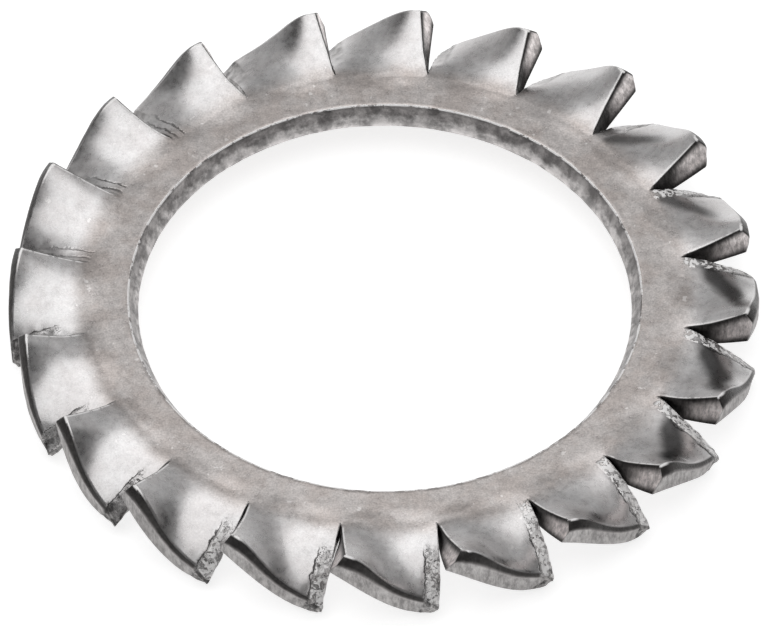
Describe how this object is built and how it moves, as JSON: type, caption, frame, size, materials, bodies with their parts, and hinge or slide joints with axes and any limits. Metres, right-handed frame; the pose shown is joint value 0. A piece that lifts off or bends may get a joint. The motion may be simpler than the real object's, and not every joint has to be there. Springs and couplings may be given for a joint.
{
  "type": "toothed lock washer",
  "caption": "Spring-steel lock washer: a flat ring whose rim is sheared into overlapping teeth, each twisted so one corner stands up and the other hangs below the ring.",
  "frame": {"origin": "centre of the bore at the ring's lower face", "axes": "+Z along the bore; the teeth's raised corners stand towards +Z, and the middle of one tooth lies on +X"},
  "size_m": [0.0382, 0.0382, 0.0044],
  "materials": {
    "spring_steel": "bright tumbled spring steel, satin faces with darker sheared edges"
  },
  "bodies": {
    "root": {"lock_washer": "spring_steel"}
  },
  "joints": []
}
